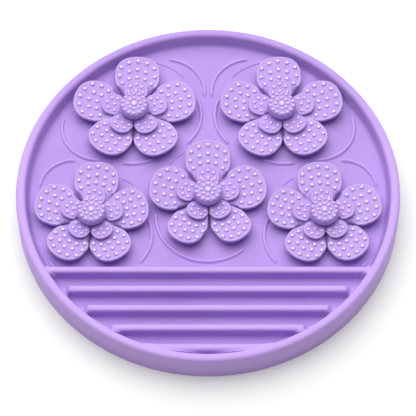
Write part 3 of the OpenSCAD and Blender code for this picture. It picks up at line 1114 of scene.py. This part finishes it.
def add_button_dome(shell, nubs):
    radius = BUTTON_D / 2
    sheet_r = radius * BUTTON_SHEET_SHARE

    def top(points):
        return dome_height(np.hypot(*points.T) / radius) + rise_of_nubs(points, nubs)

    plan = Plan()
    plan.loop(circle(sheet_r, BUTTON_RIM_COUNT))
    for nub in nubs:
        nub.draw(plan)
    spots = grid((-radius, -radius), (radius, radius), BUTTON_GRID)
    plan.scatter(spots[np.hypot(*spots.T) < sheet_r - BUTTON_GRID / 2])
    shell.sheet(plan, lambda points: np.hypot(*points.T) < sheet_r, top)


def add_button_side(shell):
    """The steep edge of the dome, the widest line and the undercut."""
    first = math.asin(BUTTON_SHEET_SHARE)
    shares = np.sin(np.linspace(first, math.pi / 2, BUTTON_SIDE_COUNT))
    dome = np.column_stack([shares, dome_height(shares)]) * (BUTTON_D / 2, 1)
    waist, foot = (BUTTON_D / 2, BUTTON_WAIST_H), (BUTTON_FOOT_D / 2, 0)
    line, radii = [dome[-2], waist, foot], [0, BUTTON_WAIST_ROUND, 0]
    undercut = rounded(line, radii, steps=BUTTON_WAIST_STEPS)
    shell.lathe(np.vstack([dome[:-2], undercut])[::-1], BUTTON_RIM_COUNT)


def button_shell():
    """The button at the origin, its foot at height 0 and its stem below."""
    nubs = button_nubs()
    # Painted highlight on the tops of the button's nubs, above its foot
    made = Shell(lambda points: (points[:, 2] > 0) * painted_highlight_of_nubs(points[:, :2], nubs))
    add_button_dome(made, nubs)
    add_button_side(made)
    stem = stem_outline(0)
    stem_low = STEM_END - BUTTON_BASE
    foot, end = Plan(), Plan()
    foot.loop(circle(BUTTON_FOOT_D / 2, BUTTON_RIM_COUNT))
    foot.loop(stem)
    end.loop(stem)
    made.sheet(
        foot,
        lambda points: depth_in_convex(points, stem) < 0,
        lambda points: np.zeros(len(points)),
        up=False,
    )
    made.wall(stem, stem_low, 0)
    made.sheet(
        end,
        lambda points: depth_in_convex(points, stem) > 0,
        lambda points: np.full(len(points), stem_low),
        up=False,
    )
    return made


# Materials
# Light tone, dark tone and the painted highlight's tone for the crests in 8-bit display
# steps, roughness and gloss of each slot's silicone
SILICONES = {
    "tray": (
        "tray_silicone", (189, 156, 229), (183, 149, 223), (208, 174, 249), 0.45, 0.14
    ),
    "large_petals": (
        "petal_silicone", (193, 161, 232), (185, 152, 226), (248, 231, 255), 0.42, 0.25
    ),
    "small_petals": (
        "small_silicone", (193, 161, 232), (185, 152, 226), (248, 231, 255), 0.42, 0.25
    ),
    "buttons": (
        "button_silicone", (194, 162, 233), (187, 154, 227), (236, 216, 253), 0.42, 0.25
    ),
    "suction_cups": (
        "cup_silicone", (188, 157, 229), (182, 150, 223), (200, 170, 238), 0.4, 0.25
    ),
}

# Scale and detail of each noise, and how far it reaches
CLOUDS = (38, 4)
CLOUD_STOPS = (0.3, 0.7)
SMEARS = (160, 3)
SMEAR_ROUGHNESS = 0.06
GRAIN = (2600, 2)
GRAIN_STRENGTH = 0.12
GRAIN_DEPTH = 0.04 * MM
SUBSURFACE_WEIGHT = 0.12
SUBSURFACE_RADIUS = (0.9, 0.7, 1)
SUBSURFACE_SCALE = 1.5 * MM


def linear(colour):
    """A colour given in 8-bit display steps, as a scene colour."""
    shares = np.array(colour) / 255
    curved = ((shares + 0.055) / 1.055) ** 2.4
    return tuple(np.where(shares > 0.04045, curved, shares / 12.92))


def set_inputs(node, values):
    for name, value in values.items():
        node.inputs[name].default_value = value


def new_material(name):
    """A material, its node tree and its shader."""
    material = bpy.data.materials.new(name)
    material.use_nodes = True
    return material, material.node_tree, material.node_tree.nodes["Principled BSDF"]


def add_noise(tree, place, scale, detail):
    noise = tree.nodes.new("ShaderNodeTexNoise")
    set_inputs(noise, {"Scale": scale, "Detail": detail})
    tree.links.new(place.outputs["Object"], noise.inputs["Vector"])
    return noise.outputs["Fac"]


def add_tone(tree, noise, dark, light, stops=(0, 1)):
    """A tone that a noise moves between dark and light."""
    tone = tree.nodes.new("ShaderNodeValToRGB")
    for element, stop, colour in zip(tone.color_ramp.elements, stops, (dark, light)):
        element.position = stop
        element.color = (*colour, 1)
    tree.links.new(noise, tone.inputs["Fac"])
    return tone.outputs["Color"]


def silicone(name, light, dark, painted_highlight, roughness, gloss):
    """Matte silicone: a soft cloudy tone with a paler painted highlight on the crests, a
    fine moulded grain and a dull sheen."""
    material, tree, shader = new_material(name)
    place = tree.nodes.new("ShaderNodeTexCoord")

    clouds = add_noise(tree, place, *CLOUDS)
    tone = add_tone(tree, clouds, linear(dark), linear(light), CLOUD_STOPS)
    # The painted highlight: each point's share mixes the paler tone over the cloudy one
    painted_highlights = tree.nodes.new("ShaderNodeAttribute")
    painted_highlights.attribute_name = PAINTED_HIGHLIGHT
    painted_highlight_mix = tree.nodes.new("ShaderNodeMix")
    painted_highlight_mix.data_type = "RGBA"
    painted_highlight_mix.inputs["B"].default_value = (*linear(painted_highlight), 1)
    tree.links.new(painted_highlights.outputs["Fac"], painted_highlight_mix.inputs["Factor"])
    tree.links.new(tone, painted_highlight_mix.inputs["A"])
    tree.links.new(painted_highlight_mix.outputs["Result"], shader.inputs["Base Color"])

    dullness = tree.nodes.new("ShaderNodeMapRange")
    set_inputs(dullness, {
        "To Min": roughness - SMEAR_ROUGHNESS,
        "To Max": roughness + SMEAR_ROUGHNESS,
    })
    tree.links.new(add_noise(tree, place, *SMEARS), dullness.inputs["Value"])
    tree.links.new(dullness.outputs["Result"], shader.inputs["Roughness"])

    grain = tree.nodes.new("ShaderNodeBump")
    set_inputs(grain, {"Strength": GRAIN_STRENGTH, "Distance": GRAIN_DEPTH})
    tree.links.new(add_noise(tree, place, *GRAIN), grain.inputs["Height"])
    tree.links.new(grain.outputs["Normal"], shader.inputs["Normal"])

    set_inputs(shader, {
        "Subsurface Weight": SUBSURFACE_WEIGHT,
        "Subsurface Radius": SUBSURFACE_RADIUS,
        "Subsurface Scale": SUBSURFACE_SCALE,
        "Specular IOR Level": gloss,
    })
    return material


MATERIALS = {slot: silicone(*values) for slot, values in SILICONES.items()}


def place_piece(made, body, node, slot):
    """Gives a piece its body and its slot's material, and hides the CAD node that it
    stands for.
    """
    made.data.materials.append(MATERIALS[slot])
    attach(made, body)
    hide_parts(node)


def add_flowers():
    """The three layers of every flower, and the material of the cups' own nodes."""
    shells = {
        name: (large_whorl(kind).shell(), small_whorl(kind).shell())
        for name, kind in KINDS.items()
    }
    button = button_shell()
    for name, kind in FLOWERS.items():
        large, small = shells[kind]
        if name.endswith("right"):
            large, small = large.mirrored(), small.mirrored()
        layers = (
            (large, "large_petals", "large_petals", COLLAR_TOP),
            (small, "small_petals", "small_petals", SMALL_BASE),
            (button, "button", "buttons", BUTTON_BASE),
        )
        for shell, layer, slot, base in layers:
            node = name + "_" + layer
            made = shell.piece(node + "_visual", PLACES[name], base)
            place_piece(made, name + "_flower", node, slot)
        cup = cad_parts[name + "_suction_cup"]
        cup.data.materials.clear()
        cup.data.materials.append(MATERIALS["suction_cups"])


place_piece(make_tray().piece("tray_visual"), "base", "tray", "tray")
add_flowers()


# Camera at the photograph's angle, in degrees, metres, pixels and millimetres
CAMERA_ELEVATION = 60.32
CAMERA_DISTANCE = 1.2278
FOCAL_PIXELS = 2330.6
FRAME_PIXELS = 416
ORIGIN_ROW = 204.72
SENSOR = 36


def add_camera():
    data = bpy.data.cameras.new("camera")
    data.sensor_width = SENSOR
    data.lens = FOCAL_PIXELS * SENSOR / FRAME_PIXELS
    data.shift_y = -(FRAME_PIXELS / 2 - ORIGIN_ROW) / FRAME_PIXELS
    camera = bpy.data.objects.new("camera", data)
    angle = math.radians(CAMERA_ELEVATION)
    camera.location = Vector((0, -math.cos(angle), math.sin(angle))) * CAMERA_DISTANCE
    camera.rotation_euler = (math.pi / 2 - angle, 0, 0)
    bpy.context.scene.collection.objects.link(camera)
    bpy.context.scene.camera = camera


# Floor, lamp and world. The glow and the white world show only to the camera and in
# reflections.
FLOOR_CORNERS = ((-3, -3, 0), (3, -3, 0), (3, 3, 0), (-3, 3, 0))
FLOOR_DARK = (0.87, 0.885, 0.84)
FLOOR_LIGHT = (0.9, 0.915, 0.87)
FLOOR_CLOUDS = (3, 2)
FLOOR_GLOW = 0.15
WORLD_LIGHT = 0.195
LAMP_PLACE = (-0.13, 0.49, 1.15)
LAMP_SIZE = 2
LAMP_POWER = 24.5
WHITE = (1, 1, 1, 1)


def seen_directly(tree):
    """1 for what the camera, a reflection or a clear piece sees, 0 for other light."""
    path = tree.nodes.new("ShaderNodeLightPath")
    total = path.outputs["Is Camera Ray"]
    for ray in ("Is Glossy Ray", "Is Transmission Ray"):
        add = tree.nodes.new("ShaderNodeMath")
        add.operation = "ADD"
        add.use_clamp = True
        tree.links.new(total, add.inputs[0])
        tree.links.new(path.outputs[ray], add.inputs[1])
        total = add.outputs["Value"]
    return total


def add_floor():
    mesh = bpy.data.meshes.new("floor")
    mesh.from_pydata(FLOOR_CORNERS, [], [(0, 1, 2, 3)])
    floor = bpy.data.objects.new("floor", mesh)
    bpy.context.scene.collection.objects.link(floor)
    material, tree, shader = new_material("pale_floor")
    place = tree.nodes.new("ShaderNodeTexCoord")
    tone = add_tone(tree, add_noise(tree, place, *FLOOR_CLOUDS), FLOOR_DARK, FLOOR_LIGHT)
    tree.links.new(tone, shader.inputs["Base Color"])
    glow = tree.nodes.new("ShaderNodeMath")
    glow.operation = "MULTIPLY"
    glow.inputs[1].default_value = FLOOR_GLOW
    tree.links.new(seen_directly(tree), glow.inputs[0])
    tree.links.new(glow.outputs["Value"], shader.inputs["Emission Strength"])
    set_inputs(shader, {
        "Roughness": 0.9,
        "Specular IOR Level": 0.1,
        "Emission Color": WHITE,
    })
    mesh.materials.append(material)


def add_lamp():
    data = bpy.data.lights.new("soft_lamp", "AREA")
    data.shape = "DISK"
    data.size = LAMP_SIZE
    data.energy = LAMP_POWER
    lamp = bpy.data.objects.new("soft_lamp", data)
    lamp.location = LAMP_PLACE
    lamp.rotation_euler = (-Vector(LAMP_PLACE)).to_track_quat("-Z", "Y").to_euler()
    bpy.context.scene.collection.objects.link(lamp)


def add_world():
    world = bpy.data.worlds.new("world")
    world.use_nodes = True
    tree = world.node_tree
    background = tree.nodes["Background"]
    background.inputs["Color"].default_value = WHITE
    strength = tree.nodes.new("ShaderNodeMapRange")
    set_inputs(strength, {"To Min": WORLD_LIGHT, "To Max": 1})
    tree.links.new(seen_directly(tree), strength.inputs["Value"])
    tree.links.new(strength.outputs["Result"], background.inputs["Strength"])
    bpy.context.scene.world = world


add_camera()
add_floor()
add_lamp()
add_world()
bpy.context.scene.view_settings.view_transform = "Standard"
